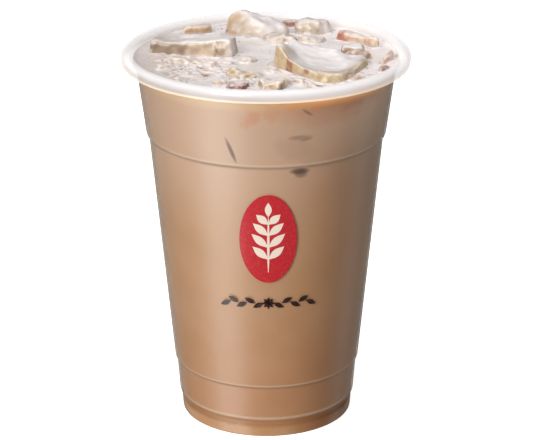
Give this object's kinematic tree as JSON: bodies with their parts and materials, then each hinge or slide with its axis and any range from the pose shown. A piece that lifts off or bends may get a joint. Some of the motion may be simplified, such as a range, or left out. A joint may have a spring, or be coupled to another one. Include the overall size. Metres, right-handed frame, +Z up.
{
  "type": "iced milk coffee in a takeaway cup",
  "caption": "Milk coffee with ice in a clear takeaway cup with a rolled white lip and stepped wall, filled nearly to the brim.",
  "frame": {"origin": "centre of the ring that the cup stands on", "axes": "+Z up along the cup's axis, -Y towards the side with the print, +X to its right"},
  "size_m": [0.095, 0.095, 0.1295],
  "materials": {
    "clear_plastic": "clear moulded plastic, white where it is rolled at the lip",
    "milk_coffee": "opaque milky liquid with pale foam on top",
    "ice": "wet ice under a film of milk"
  },
  "bodies": {
    "root": {"cup": "clear_plastic", "milk_coffee": "milk_coffee", "ice_slab_left": "ice", "ice_sliver_back": "ice", "ice_hump": "ice", "ice_wedge_back": "ice", "ice_mound_back": "ice", "ice_slab_back": "ice", "ice_shard_right": "ice", "ice_block_right": "ice", "ice_shell_right": "ice", "ice_chip_front": "ice", "ice_lump_front_left": "ice", "ice_lump_front_right": "ice"}
  },
  "joints": []
}
